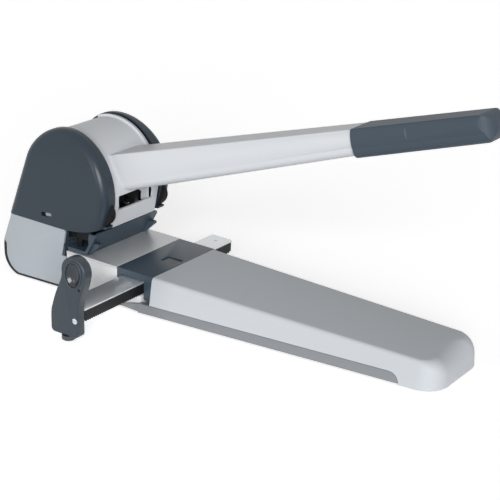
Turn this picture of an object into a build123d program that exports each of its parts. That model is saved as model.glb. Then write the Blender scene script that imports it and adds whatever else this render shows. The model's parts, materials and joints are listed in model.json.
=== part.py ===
from build123d import *
import os
from math import acos, cos, pi, radians, sin, sqrt, tan

# Heavy-duty two-hole paper punch with a long lever, in millimetres.
# Everything is laid out in the machine's own frame: X = 0 is the centre plane, +X the right side,
# +Y the rear, Y = 0 the rear end of the tray and Z = 0 the paper surface. The machine stands with
# this surface tipped forward by TILT, so one placement at the end turns the whole of it.

# Stance
TILT = 2.0                # slope of the paper surface down to the front, degrees
TABLE_DROP = 41.1         # paper surface above the table at Y = 0

# Punching
HOLE_SPACING = 80.0       # standard two-hole distance
HOLE_MARGIN = 12.0        # hole centres from the paper's edge
STACK = 25.0              # thickest stack of paper
PUNCH_RADIUS = 3.0
STOP_Y = 120.0            # face the paper's edge meets
STOP_DEPTH = 3.4
PUNCH_Y = STOP_Y - HOLE_MARGIN
PUNCH_X = HOLE_SPACING / 2
SHANK_RADIUS = 4.0
BEAM_LOW = 14.0
BEAM_HIGH = 25.0
BEAM_FRONT = 89.8
BEAM_REAR = 113.0
PIN_X = 18.0              # the presser's guide pins
PIN_RADIUS = 2.6
COLUMN_X = 40.7
COLUMN_Y = 132.0
COLUMN_RADIUS = 3.0
PRESSER_HALF = 50.2
PRESSER_FOOT = 0.4        # underside of the presser, just clear of the platform
PRESSER_TOP = 27.6
PRESSER_FRONT = 91.7      # where its face meets the platform
PRESSER_LEAN = 30.0       # of its face from upright, degrees
PRESSER_CORNER = 6.5      # rounding of its upper corners
CHEEK_REAR = 88.0         # upright rear edge of its short side cheeks
WING_X = (41.5, 47.0)     # ears at its ends that lead the paper in
WING_TIP = (76.6, 14.4)

# Drum, shaft and gears
AXIS_Y = 126.5
AXIS_Z = 67.3
DRUM_RADIUS = 57.5
DRUM_WALL = 3.0
DRUM_HALF = 36.6
BEAD_RADIUS = 60.2
SHAFT_RADIUS = 7.0
RUNNING_GAP = 0.05
GEAR_MODULE = 2.0
PINION_TEETH = 26
PINION_RADIUS = GEAR_MODULE * PINION_TEETH / 2
PRESSURE_ANGLE = 20.0
BACKLASH = 0.25
PINION_INNER_X = 26.0
PINION_OUTER_X = 32.0
RACK_TOP = 74.5
HUB_RADIUS = 15.0
WEB_RING = 17.5           # collar of the drum's webs around the hub
APRON_FOOT = (69.2, 32.2)  # lower front edge of the drum's flat front
APRON_BROW = (64.9, 66.0)
APRON_WALL = 2.6
APRON_HALF = 33.7         # half width of its lower edge
WINDOW_HALF = 28.0
WINDOW_LOW = 50.0
WINDOW_HIGH = 66.0
WEB_X = (23.0, 25.0)      # the drum's two webs
WEB_FRONT = 69.6          # their front edge, seen in the window
DRUM_LAST = 187.0         # where the drum's wall ends, degrees from the front over the top

# Lever
LEVER_ANGLE = 17.7        # above the paper surface when pressed down
LEVER_ROOT = 50.0         # distances from the drum axis along the lever
LEVER_END = 462.0
GRIP_START = 345.0
GRIP_END = 487.0

# Head
CAP_INNER = 37.0
CAP_OUTER = 55.0
CAP_RADIUS = 64.2
CAP_REAR_RADIUS = 55.2
CAP_JOIN = 60.0           # where the two arcs meet, degrees from the front over the top
CAP_SHOULDER = 9.0
CAP_INNER_SHOULDER = 5.8  # tighter inside, so that the presser's corners pass
CAP_CROWN_Z = 85.0        # above this the caps' sides curve inwards
CAP_CROWN_RADIUS = 118.0
CAP_WALL = 2.0            # lets the presser's upper edge rise behind their front wall
CAP_LOW = 33.0            # lowest point of the caps' round front
PANEL_HALF = 53.2
PANEL_WALL = 2.2
PANEL_TOP = 23.4
REAR_LEAN = 21.0          # of the rear wall from upright, degrees
REAR_FOOT_Y = 208.7       # where the rear wall becomes upright
REAR_FOOT_Z = -9.0
REAR_WALL = 2.4
PAN_OUTER = 209.4         # rear face of the black pan
PAN_INNER = 205.4
FRAME_INNER = 45.0
FRAME_OUTER = 49.0
TIE_PLACES = ((184, 22), (150, 6))
CLIP_AT = (142.8, 35.2)   # slot of the cap's snap tongue

# Tray
TRAY_HALF_REAR = 52.0
TRAY_HALF_FRONT = 41.1
TRAY_LENGTH = 302.0
TRAY_NOSE = 322.0
TRAY_FLARE = 0.155        # sideways per millimetre of drop
TRAY_WALL = 2.0
STRIP_HEIGHT = 12.0       # grey plinth showing under the tray's sides
PLINTH_LOW = 2.1          # its underside above the table

# Guide rail and arm
RAIL_FRONT = 12.8
RAIL_REAR = 41.0
RAIL_TOP = -7.8
RAIL_RIGHT = 101.0
STOP_FACE_X = 139.7       # the arm's inner face, half a letter sheet from the centre
ARM_THICKNESS = 10.3
BUTTON_AT = (17.2, 30.2)
PEEP_AT = (9.6, 16.4)
ARM_SCREW_AT = (16.5, -18.0)
ARM_FOOT_AT = (-STOP_FACE_X - 5.2, 29.0)
ARM_LOW = -36.3


def table_z(y, lift=0.0):
    """Height of the table under a point at y, plus lift."""
    return -TABLE_DROP - y * tan(radians(TILT)) + lift


def rear_wall_y(z, inset=0.0):
    """The leaning rear wall's outer face at height z, moved in by inset."""
    lean = radians(REAR_LEAN)
    return REAR_FOOT_Y - (z - REAR_FOOT_Z) * tan(lean) - inset / cos(lean)


def around_axis(radius, degrees_from_front):
    """Point in the YZ plane about the drum axis, measured from the front over the top."""
    turn = radians(degrees_from_front)
    return (AXIS_Y - radius * cos(turn), AXIS_Z + radius * sin(turn))


def polygon(*points):
    """A closed straight-sided outline."""
    return make_face(Polyline(*points, close=True))


def across(face, x_low, x_high):
    """Extrude a (y, z) face from x_low to x_high."""
    return extrude(Plane.YZ.offset(x_low) * face, amount=x_high - x_low)


def block(x, y, z):
    """A box given by its three ranges."""
    centre = ((x[0] + x[1]) / 2, (y[0] + y[1]) / 2, (z[0] + z[1]) / 2)
    return Pos(*centre) * Box(x[1] - x[0], y[1] - y[0], z[1] - z[0])


def rod_x(radius, x_low, x_high, y, z):
    """A cylinder lying along X."""
    return Plane.YZ.offset(x_low) * Pos(y, z) * Cylinder(
        radius, x_high - x_low, align=(Align.CENTER, Align.CENTER, Align.MIN))


def rod_z(radius, x, y, z_low, z_high):
    """A cylinder standing along Z."""
    return Pos(x, y, z_low) * Cylinder(
        radius, z_high - z_low, align=(Align.CENTER, Align.CENTER, Align.MIN))


def rod_y(radius, x, y_low, y_high, z):
    """A cylinder lying along Y."""
    return Plane.XZ.offset(-y_high) * Pos(x, z) * Cylinder(
        radius, y_high - y_low, align=(Align.CENTER, Align.CENTER, Align.MIN))


def mirrored(shape):
    """The same piece on the other side of the centre plane."""
    return mirror(shape, about=Plane.YZ)


def group(*solids):
    """Several separate solids kept as one sub-part."""
    return Compound(children=list(solids))


# ---------------------------------------------------------------- tray

def tray_plan(inset):
    """The tray's tapering, flared block with rounded nose corners, from above the top to below the table."""
    sections = []
    for z in (4.0, -48.0):
        flare = -z * TRAY_FLARE - inset
        taper = (TRAY_HALF_REAR - TRAY_HALF_FRONT) / TRAY_LENGTH
        rear = TRAY_HALF_REAR + 20.0 * taper + flare
        front = TRAY_HALF_REAR - (TRAY_NOSE - inset) * taper + flare
        outline = Polyline((-rear, 20), (rear, 20), (front, inset - TRAY_NOSE),
                           (-front, inset - TRAY_NOSE), close=True)
        face = make_face(outline)
        nose_corners = face.vertices().sort_by(Axis.Y)[:2]
        sections.append(Pos(0, 0, z) * fillet(nose_corners, 22.0 - inset))
    return loft(sections, ruled=True)


def tray_side(inset):
    """Side outline of the tray with its rolled nose, grown inwards by inset."""
    nose = inset - TRAY_NOSE
    shoulder = inset - TRAY_LENGTH
    low = table_z(-TRAY_NOSE, 1.0 - 5.0 * inset)
    roll = ThreePointArc((nose, -20.0), (nose + 4.9, -7.8 - inset / 2), (shoulder - 1.0, -2.1 - inset))
    outline = [
        Line((0.8 - inset, -inset), (4.9 - inset, table_z(5.0, 1.0 - 5.0 * inset))),
        Line((4.9 - inset, table_z(5.0, 1.0 - 5.0 * inset)), (nose, low)),
        Line((nose, low), (nose, -20.0)),
        roll,
        Line((shoulder - 1.0, -2.1 - inset), (0.8 - inset, -inset)),
    ]
    return make_face(outline)


def side_cut(gap):
    """Outline of the low opening along the tray's sides, with its rounded front end."""
    end = -272.0
    height = STRIP_HEIGHT - gap
    corner = ThreePointArc((end, table_z(end, height)),
                           (end - 0.72 * height, table_z(end, 0.70 * height)),
                           (end - height, table_z(end - height)))
    outline = [
        Line((30, table_z(30, height)), (end, table_z(end, height))),
        corner,
        Line((end - height, table_z(end - height)), (end - height, -60)),
        Line((end - height, -60), (30, -60)),
        Line((30, -60), (30, table_z(30, height))),
    ]
    return make_face(outline)


def tray_cover():
    """Thin silver shell of the tray, cut low along its sides."""
    outer = across(tray_side(0.0), -70, 70) & tray_plan(0.0)
    inner = across(tray_side(TRAY_WALL), -70, 70) & tray_plan(TRAY_WALL)
    bridge_seat = block((-51.8, 51.8), (0.7, 60), (-28, 1))
    return outer - inner - across(side_cut(0.0), -70, 70) - bridge_seat


def tray_plinth():
    """Grey base of the tray: a strip flush with the tray's sides and a narrower lip inside it."""
    low = PLINTH_LOW
    strip = across(side_cut(0.6), -70, 70) & block((-70, 70), (-290, 14.6), (-60, 0))
    below = polygon((60, table_z(60, low)), (60, -60), (-330, -60), (-330, table_z(-330, low)))
    full = (strip & tray_plan(0.2)) - across(below, -70, 70)
    lip_side = polygon((-1.5, table_z(0, low)), (-1.5, table_z(0, 17)),
                       (-300, table_z(-300, 17)), (-300, table_z(-300, low)))
    lip = across(lip_side, -70, 70) & tray_plan(TRAY_WALL + 0.8)
    hollow_side = polygon((20, table_z(20, 3.5)), (20, table_z(20, 30)),
                          (-297, table_z(-297, 30)), (-297, table_z(-297, 3.5)))
    hollow = across(hollow_side, -70, 70) & tray_plan(TRAY_WALL + 3.3)
    tail = plinth_tail()
    return full + lip - hollow + tail + mirrored(tail)


def plinth_tail():
    """Left strip that runs on from the plinth beside the rail's shelf and dies out."""
    low, rear = PLINTH_LOW, 41.0
    side = polygon((13.5, table_z(13.5, low)), (13.5, table_z(13.5, 10.5)), (24, table_z(24, 9.0)),
                   (rear, table_z(rear, 4.6)), (rear, table_z(rear, low)))
    inner, outer = -PANEL_HALF - 0.2, -56.6
    plan = polygon((inner, 13.5), (outer, 13.5), (outer + 0.6, 24), (inner - 0.5, rear), (inner, rear))
    return across(side, -60, inner) & extrude(Plane.XY.offset(-60) * plan, amount=60)


# ---------------------------------------------------------------- bridge, rail and arm

def rail_bridge():
    """Slate bridge over the guide rail, with legs at both ends and a window in its top."""
    half = 51.6
    top = block((-half, half), (0.9, 47.8), (-6.5, 0))
    top = fillet(top.edges().filter_by(Axis.X).sort_by(Axis.Z)[-2:], 0.8)
    bridge = top
    for side in (-1, 1):
        leg_x = sorted((side * 44.0, side * half))
        bridge += block(leg_x, (1.5, 12.2), (-27.5, -6.5))
        bridge += block(leg_x, (42.2, 47.8), (-13.7, -6.5))
    window = block((-9, 5), (5.5, 25.5), (-7, 1))
    return bridge - window


def format_window():
    """Dark pane in the bridge's top, over the format scale."""
    return block((-8.9, 4.9), (5.6, 25.4), (-3.2, -1.2))


def guide_rail():
    """Chromed angle: a flat plate with a flange turned down along its front."""
    left = -STOP_FACE_X
    plate = block((left, RAIL_RIGHT), (RAIL_FRONT, RAIL_REAR), (RAIL_TOP - 1.5, RAIL_TOP))
    ends = plate.edges().filter_by(Axis.Z).sort_by(Axis.X)[-2:]
    plate = fillet(ends, 2.5)
    flange = block((left, RAIL_RIGHT - 3), (14.5, 16.0), (-21.5, RAIL_TOP - 1.5))
    hole = rod_z(1.5, RAIL_RIGHT - 13, 26.5, -12, 0)
    foot = block((left, left + 3), (16.0, 38.0), (-21.5, RAIL_TOP - 1.5))
    screw_hole = rod_x(1.65, left - 1, left + 4, *ARM_SCREW_AT)
    return plate + flange + foot - hole - screw_hole


def rail_strip():
    """Dark strip on the rail's flange with the index teeth along its lower edge."""
    pitch = 3.0
    left = -STOP_FACE_X + 1.0
    right = RAIL_RIGHT - 3.0
    count = int((right - left - 2) / pitch)
    points = [(left, RAIL_TOP - 1.9), (left, -19.4)]
    for i in range(count):
        x = left + 1.0 + i * pitch
        points += [(x, -19.4), (x + 0.7, -21.0), (x + 1.5, -21.0), (x + 2.2, -19.4)]
    points += [(right, -19.4), (right, RAIL_TOP - 1.9)]
    face = make_face(Polyline(*points, close=True))
    return extrude(Plane.XZ.offset(-14.4) * face, amount=1.4)


def rail_glides():
    """Two low pads that carry the rail inside the bridge."""
    pads = [block((x - 5, x + 5), (20, 38), (-23.9, RAIL_TOP - 1.6)) for x in (-36, 36)]
    return group(*pads)


def rail_detent():
    """Sprung plunger under the bridge that clicks into the index teeth."""
    body = rod_z(3.0, 20, 8.5, -26, -6.6)
    finger = block((18.5, 21.5), (9.5, 12.6), (-25.5, -21.3))
    return body + finger


def arm_outline():
    """Side view of the guide arm: round head, slim neck, wide foot."""
    head = ThreePointArc((3.2, 27.0), (17.3, 48.0), (32.6, 31.0))
    rear = Spline((32.6, 31.0), (35.6, 18.4), (41.2, 6.0), (45.8, -7.5), (47.8, -20.0),
                  tangents=[(-0.1, -1), (0.02, -1)])
    front = Spline((12.9, -10.0), (8.6, 9.5), (3.2, 27.0), tangents=[(-0.05, 1), (-0.15, 1)])
    low = [
        Line((47.8, -20.0), (47.8, -31.5)),
        ThreePointArc((47.8, -31.5), (46.4, -35.0), (43.0, ARM_LOW)),
        Line((43.0, ARM_LOW), (17.5, ARM_LOW)),
        ThreePointArc((17.5, ARM_LOW), (14.3, -35.0), (12.9, -31.8)),
        Line((12.9, -31.8), (12.9, -10.0)),
    ]
    return make_face([head, rear, *low, front])


def oval_x(radius_y, radius_z, x_low, x_high):
    """Upright oval about the button's centre, slightly leaning with the arm."""
    face = Rot(0, 0, 6) * Ellipse(radius_y, radius_z)
    return across(Pos(*BUTTON_AT) * face, x_low, x_high)


def guide_arm():
    """Upright arm that the paper's side meets, with seats for its button, screw and foot."""
    outer = -STOP_FACE_X - ARM_THICKNESS
    arm = across(arm_outline(), outer, -STOP_FACE_X)
    rim = arm.faces().sort_by(Axis.X)[0].edges()
    arm = fillet(rim, 1.4)
    pocket = oval_x(9.6, 13.2, outer - 1, -STOP_FACE_X - 2.2)
    peep = rod_x(1.7, outer - 1, outer + 2, *PEEP_AT)
    screw_seat = rod_x(3.4, outer - 1, outer + 2.4, *ARM_SCREW_AT)
    screw_bore = rod_x(1.8, outer, -STOP_FACE_X + 1, *ARM_SCREW_AT)
    foot_bore = rod_z(3.0, *ARM_FOOT_AT, -40, -30)
    return arm - pocket - peep - screw_seat - screw_bore - foot_bore


def release_button():
    """Oval push button with a scooped face."""
    outer = -STOP_FACE_X - ARM_THICKNESS
    body = oval_x(9.2, 12.8, outer + 0.2, outer + 4.4)
    scoop = Pos(outer - 14.5, *BUTTON_AT) * scale(Sphere(17.0), by=(1, 0.62, 0.86))
    return body - scoop


def button_spring():
    """Coil behind the button, drawn at its pressed length against the pocket's floor."""
    wire = 0.25
    length = 1.0
    start = -STOP_FACE_X - 2.25 - wire - length
    helix = Helix(pitch=length, height=length, radius=4.0)
    profile = Plane(origin=helix @ 0, z_dir=helix % 0) * Circle(wire)
    coil = sweep(profile, path=helix)
    return Pos(start, *BUTTON_AT) * Rot(0, 90, 0) * coil


def arm_screw():
    """Slotted screw that holds the arm on the rail."""
    outer = -STOP_FACE_X - ARM_THICKNESS
    y, z = ARM_SCREW_AT
    head = rod_x(3.0, outer + 0.3, outer + 2.3, y, z)
    slot = block((outer, outer + 1.1), (y - 3.5, y + 3.5), (z - 0.4, z + 0.4))
    shank = rod_x(1.6, outer + 2.3, -STOP_FACE_X + 2.0, y, z)
    return head + shank - slot


def arm_foot():
    """Knurled glide foot, just clear of the table."""
    x, y = ARM_FOOT_AT
    bottom = table_z(y, 0.5)
    knurl_radius = 7.0
    shank = rod_z(2.9, x, y, ARM_LOW - 0.1, -30.5)
    collar = rod_z(knurl_radius - 0.1, x, y, bottom + 0.8, ARM_LOW - 0.1)
    pad = rod_z(knurl_radius - 1.2, x, y, bottom, bottom + 0.8)
    foot = shank + collar + pad
    for i in range(24):
        turn = 2 * pi * i / 24
        foot -= rod_z(0.45, x + knurl_radius * cos(turn), y + knurl_radius * sin(turn), bottom, ARM_LOW)
    return foot


# ---------------------------------------------------------------- base

def base_casting():
    """Low walls under the platform and the shelf that carries the rail."""
    y0, y1 = 15.2, 117.4
    outer = across(polygon((y0, table_z(y0, 3.9)), (y1, table_z(y1, 3.9)), (y1, -2.3), (48.1, -2.3),
                           (48.1, -14.0), (42.0, -14.0), (42.0, -24.0), (y0, -24.0)), -52.4, 52.4)
    under_shelf = across(polygon((17.8, -60), (45.4, -60), (45.4, -26.5), (17.8, -26.5)), -49.8, 49.8)
    drawer_bay = block((-49.8, 49.8), (51.0, 130), (-60, -5.8))
    die_slot = block((-47.5, 47.5), (98, 130), (-8, 0))
    strap_slot = across(polygon((0, table_z(0)), (130, table_z(130)), (130, table_z(130, 6.8)),
                                (0, table_z(0, 6.8))), -30.4, 30.4)
    return outer - under_shelf - drawer_bay - die_slot - strap_slot


def platform_plate():
    """Steel table the paper lies on."""
    front = block((-52.4, 52.4), (48.0, 117.4), (-2.2, 0))
    rear = block((-44.6, 44.6), (117.4, 152), (-2.2, 0))
    plate = front + rear
    for side in (-1, 1):
        plate -= rod_z(6.05, side * PUNCH_X, PUNCH_Y, -5, 5)
        plate -= rod_z(COLUMN_RADIUS + 0.1, side * COLUMN_X, COLUMN_Y, -5, 5)
    return plate


def die_block():
    """Bar under the platform that holds both dies."""
    bar = block((-47, 47), (99, 117), (-10, -2.3))
    for side in (-1, 1):
        bar -= rod_z(6.05, side * PUNCH_X, PUNCH_Y, -12, 0)
    return bar


def die(side):
    """Hardened ring that the punch enters."""
    ring = rod_z(6.0, side * PUNCH_X, PUNCH_Y, -10, 0)
    return ring - rod_z(PUNCH_RADIUS + 0.1, side * PUNCH_X, PUNCH_Y, -11, 1)


def back_stop():
    """Stop for the paper's edge: a low strip across, higher on both sides of the beam's arms."""
    depth = (STOP_Y, STOP_Y + STOP_DEPTH)
    stop = block((-52.2, 52.2), depth, (0.05, 7)) + block((-34, 34), depth, (7, STACK + 1))
    for side in (-1, 1):
        stop += block(sorted((side * 45.4, side * 50.7)), depth, (7, STACK + 1))
        stop += block(sorted((side * 49.2, side * 52.2)), depth, (-6, 0.05))
    return stop


def panel_outline():
    """Side panel: leaning rear edge, notched above a rounded heel, stepped front edge."""
    heel_edge = PAN_INNER - 0.2
    heel = ThreePointArc((heel_edge, -22.0), (200.8, -35.6), (188.0, table_z(188, 3.9)))
    return make_face([
        Line((rear_wall_y(PANEL_TOP), PANEL_TOP), (REAR_FOOT_Y, REAR_FOOT_Z)),
        Line((REAR_FOOT_Y, REAR_FOOT_Z), (heel_edge, REAR_FOOT_Z - 3.6)),
        Line((heel_edge, REAR_FOOT_Z - 3.6), (heel_edge, -22.0)),
        heel,
        Line((188.0, table_z(188, 3.9)), (117.9, table_z(117.9, 3.9))),
        Line((117.9, table_z(117.9, 3.9)), (117.9, -6.9)),
        Line((117.9, -6.9), (123.6, -6.9)),
        Line((123.6, -6.9), (120.4, 7.6)),
        Line((120.4, 7.6), (117.9, 20.2)),
        ThreePointArc((117.9, 20.2), (119.0, 22.5), (121.4, PANEL_TOP)),
        Line((121.4, PANEL_TOP), (rear_wall_y(PANEL_TOP), PANEL_TOP)),
    ])


def side_panel(side):
    """Painted panel on one side of the base."""
    x = sorted((side * (PANEL_HALF - PANEL_WALL), side * PANEL_HALF))
    stop_end = block((-52.3, 52.3), (STOP_Y - 0.2, STOP_Y + STOP_DEPTH + 0.2), (-6.2, 7.2))
    return across(panel_outline(), *x) - stop_end


def base_pan():
    """Black pan under the head, turned up behind the panels; the drawer's face fills its opening."""
    return pan_shell() - drawer_opening(0.0)


def pan_shell():
    """Pan before the drawer's opening is cut: flat floor, rounded heel, upright rear wall."""
    low, high = 1.3, 3.8
    outer = [
        Line((18, table_z(18, low)), (190, table_z(190, low))),
        ThreePointArc((190, table_z(190, low)), (204.4, -37.9), (PAN_OUTER, -23)),
        Line((PAN_OUTER, -23), (PAN_OUTER, REAR_FOOT_Z - 5.0)),
        Line((PAN_OUTER, REAR_FOOT_Z - 5.0), (REAR_FOOT_Y, REAR_FOOT_Z - 0.2)),
        Line((REAR_FOOT_Y, REAR_FOOT_Z - 0.2), (PAN_INNER, REAR_FOOT_Z - 3.6)),
        Line((PAN_INNER, REAR_FOOT_Z - 3.6), (PAN_INNER, -22)),
        ThreePointArc((PAN_INNER, -22), (201.0, -35.8), (188, table_z(188, high))),
        Line((188, table_z(188, high)), (18, table_z(18, high))),
        Line((18, table_z(18, high)), (18, table_z(18, low))),
    ]
    return across(make_face(outer), -PANEL_HALF, PANEL_HALF)


def drawer_opening(gap):
    """Hole in the pan's rear wall, shrunk on every side by gap."""
    return block((-44 + gap, 44 - gap), (194, 230), (-41 + gap, -15 - gap))


def chip_drawer():
    """Open-topped bin for the paper chips, with the rear wall's curve on its face."""
    face = pan_shell() & drawer_opening(0.5)
    rim_front, rim_rear = table_z(62, 29), table_z(205, 29)
    rear = PAN_INNER + 0.3
    outer = across(polygon((62, table_z(62, 7.4)), (196, table_z(196, 7.4)), (rear, -32), (rear, rim_rear),
                           (62, rim_front)), -43.2, 43.2)
    inner = across(polygon((64, table_z(64, 9.4)), (194.5, table_z(194.5, 9.4)), (rear - 2.3, -31),
                           (rear - 2.3, 0), (64, 0)), -41.2, 41.2)
    notch = rod_x(9.0, -14, 14, PAN_OUTER + 2.1, -12.5)
    return (outer - inner) + (face - notch)


def chassis_plate():
    """Steel strap that ties the head to the tray."""
    low, high = 3.9, 6.4
    profile = polygon((-292, table_z(-292, low)), (188, table_z(188, low)),
                      (188, table_z(188, high)), (-292, table_z(-292, high)))
    return across(profile, -30, 30)


def rubber_feet():
    """Round feet, the only things that touch the table."""
    feet = []
    tray_gap = PLINTH_LOW - 0.1
    for x, y, top in ((42, 178, 1.2), (42, 60, 1.2), (36, -35, tray_gap), (30, -262, tray_gap)):
        for side in (-1, 1):
            shell = rod_z(7.0, side * x, y, table_z(y) - 3, table_z(y) + 3)
            slab = across(polygon((y - 9, table_z(y - 9)), (y + 9, table_z(y + 9)),
                                  (y + 9, table_z(y + 9, top)), (y - 9, table_z(y - 9, top))), -60, 60)
            feet.append(shell & slab)
    return group(*feet)


def rear_cover():
    """Leaning rear wall: wide between the panels, narrow between the caps up to the drum."""
    top = 50.0
    foot = REAR_FOOT_Z + 0.5
    face = polygon((rear_wall_y(foot), foot), (rear_wall_y(top), top),
                   (rear_wall_y(top, REAR_WALL), top), (rear_wall_y(foot, REAR_WALL), foot))
    wide = across(face, -50.9, 50.9) & block((-60, 60), (150, 240), (-20, PANEL_TOP))
    narrow = across(face, -CAP_INNER + 0.6, CAP_INNER - 0.6)
    return wide + narrow


# ---------------------------------------------------------------- frames and caps

def side_frame(side):
    """C-shaped steel plate: foot on the pan behind the paper stop, arm forward over the throat."""
    face = polygon((124.2, table_z(124.2, 3.9)), (124.2, 34), (98, 36), (98, 84), (108, 92), (146, 92),
                   (166, 72), (184, 40), (196, 12), (200, -8), (200, -32), (190, table_z(190, 3.9)))
    x = sorted((side * FRAME_INNER, side * FRAME_OUTER))
    plate = across(face, *x)
    plate -= rod_x(10.0, x[0] - 1, x[1] + 1, AXIS_Y, AXIS_Z)
    for y, z in TIE_PLACES:
        plate -= rod_x(2.6, x[0] - 1, x[1] + 1, y, z)
    return plate


def tie_bars():
    """Round bars that hold the side frames apart."""
    bars = []
    for y, z in TIE_PLACES:
        bar = rod_x(4.0, -FRAME_INNER, FRAME_INNER, y, z)
        bore = rod_x(2.1, FRAME_INNER - 12, FRAME_INNER, y, z)
        bars.append(bar - bore - mirrored(bore))
    return group(*bars)


def frame_screws():
    """Screws through the side frames into the tie bars."""
    screws = []
    for y, z in TIE_PLACES:
        for side in (-1, 1):
            head_x = sorted((side * (FRAME_OUTER + 0.02), side * (FRAME_OUTER + 1.6)))
            shank_x = sorted((side * (FRAME_INNER - 10), side * (FRAME_OUTER + 0.02)))
            screws.append(rod_x(4.2, *head_x, y, z) + rod_x(2.0, *shank_x, y, z))
    return group(*screws)


def bearing_bush(side):
    """Bronze bearing of the main shaft in one side frame."""
    x = sorted((side * (FRAME_INNER - 0.6), side * (FRAME_OUTER + 0.2)))
    bush = rod_x(9.95, *x, AXIS_Y, AXIS_Z)
    return bush - rod_x(SHAFT_RADIUS + RUNNING_GAP, x[0] - 1, x[1] + 1, AXIS_Y, AXIS_Z)


def cap_outline(inset):
    """Tombstone outline of an end cap: round front, flatter rear, leaning rear edge, open below."""
    front_radius = CAP_RADIUS - inset
    rear_radius = CAP_REAR_RADIUS - inset
    offset = CAP_RADIUS - CAP_REAR_RADIUS
    join = around_axis(front_radius, CAP_JOIN)
    centre_y, centre_z = around_axis(offset, CAP_JOIN)
    lean = radians(REAR_LEAN)
    rear_join = (centre_y + rear_radius * cos(lean), centre_z + rear_radius * sin(lean))
    top = (centre_y + rear_radius * cos(radians(70)), centre_z + rear_radius * sin(radians(70)))
    reach_down = 4.0 if inset else 0.0
    low_rear = PANEL_TOP + 0.5 - reach_down
    slope = (sin(lean), -cos(lean))
    reach = (rear_join[1] - low_rear) / cos(lean)
    rear_foot = (rear_join[0] + reach * slope[0], low_rear)
    front_low_z = CAP_LOW - reach_down
    front_low = (AXIS_Y - sqrt(front_radius ** 2 - (AXIS_Z - front_low_z) ** 2), front_low_z)
    front_mid = around_axis(front_radius, 20)
    return make_face([
        ThreePointArc(front_low, front_mid, join),
        ThreePointArc(join, top, rear_join),
        Line(rear_join, rear_foot),
        Line(rear_foot, (124, low_rear)),
        ThreePointArc((124, low_rear), (97, 26.4 - reach_down), front_low),
    ])


def cap_crown(inset):
    """Front view of the left cap's side: upright, then curving inwards towards the top."""
    outer_x = -(CAP_OUTER - inset)
    radius = CAP_CROWN_RADIUS - inset
    turn = radians(32)
    centre_x = outer_x + radius
    top = (centre_x - radius * cos(turn), CAP_CROWN_Z + radius * sin(turn))
    middle = (centre_x - radius * cos(turn / 2), CAP_CROWN_Z + radius * sin(turn / 2))
    inner_x = -CAP_INNER + (1.0 if inset else 0.0)
    face = make_face([
        Line((inner_x, 0), (outer_x, 0)),
        Line((outer_x, 0), (outer_x, CAP_CROWN_Z)),
        ThreePointArc((outer_x, CAP_CROWN_Z), middle, top),
        Line(top, (inner_x, top[1])),
        Line((inner_x, top[1]), (inner_x, 0)),
    ])
    return extrude(Plane.XZ.offset(-250) * face, amount=250)


def cap_solid(inset, shoulder):
    """Left cap as a solid dome, its outer edge rounded over."""
    dome = across(cap_outline(inset), -CAP_OUTER - 2, -CAP_INNER + 2) & cap_crown(inset)
    inner_x = -CAP_INNER - 0.5
    rim = [e for e in dome.edges() if e.center().X < inner_x and e.length > 12 and on_cap_rim(e)]
    return fillet(rim, shoulder)


def on_cap_rim(edge):
    """Whether an edge runs round the left cap's outer side, above its open foot."""
    points = [edge @ share for share in (0.0, 0.5, 1.0)]
    spread = max(p.Y for p in points) - min(p.Y for p in points)
    rise = max(p.Z for p in points) - min(p.Z for p in points)
    return edge.center().Z > 40 and spread + rise > 12 and not crosses_cap(edge)


def crosses_cap(edge):
    """Whether an edge is the seam where the cap's upright side starts to curve inwards."""
    return all(abs((edge @ share).Z - CAP_CROWN_Z) < 0.01 for share in (0.0, 0.5, 1.0))


def bumper_solid():
    """Drop-shaped rubber pad seated in the left cap's front, pointed at its top."""
    outer = ThreePointArc((62.6, 61.6), (60.8, 48.0), (69.4, 37.0))
    inner = ThreePointArc((69.4, 37.0), around_axis(CAP_RADIUS - CAP_WALL, -17.0), (62.6, 61.6))
    pad = across(make_face([outer, inner]), -48.0, -37.4)
    drop = make_face([
        Spline((-41.6, 61.8), (-45.2, 53.0), (-46.4, 44.0), (-45.6, 36.4)),
        Line((-45.6, 36.4), (-39.2, 36.4)),
        Spline((-39.2, 36.4), (-38.0, 44.0), (-38.9, 53.0), (-41.6, 61.8)),
    ])
    return pad & extrude(Plane.XZ.offset(-100) * drop, amount=60)


def cap_lip():
    """Ledge under the bumper at the cap's lower front edge."""
    face = polygon((73.0, 33.3), (66.6, 34.2), (65.6, 36.6), (70.6, 36.8), (72.8, 35.6))
    return across(face, -46.5, -CAP_INNER)


def cap_left():
    """Slate end cap: a thin dome with its lip, the bumper's seat and the clip's slot."""
    shell = cap_solid(0.0, CAP_SHOULDER) - cap_solid(CAP_WALL, CAP_INNER_SHOULDER)
    slot_face = Pos(*CLIP_AT) * Rot(0, 0, -6) * SlotOverall(15.0, 4.6)
    slot = across(slot_face, -CAP_OUTER - 1, -CAP_OUTER + 4)
    return shell + cap_lip() - bumper_solid() - slot


def cap_clip_left():
    """Snap tongue seen in the cap's slot."""
    face = Pos(CLIP_AT[0] - 2.6, CLIP_AT[1] + 0.2) * Rot(0, 0, -6) * SlotOverall(8.6, 3.6)
    return across(face, -CAP_OUTER + 0.9, -CAP_OUTER + 3.2)


# ---------------------------------------------------------------- lever

def lever_plane(distance):
    """Plane square to the lever at a distance from the drum axis, its Y axis up across the lever."""
    turn = radians(LEVER_ANGLE)
    origin = (0, AXIS_Y - distance * cos(turn), AXIS_Z + distance * sin(turn))
    return Plane(origin=origin, x_dir=(1, 0, 0), z_dir=(0, -cos(turn), sin(turn)))


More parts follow.
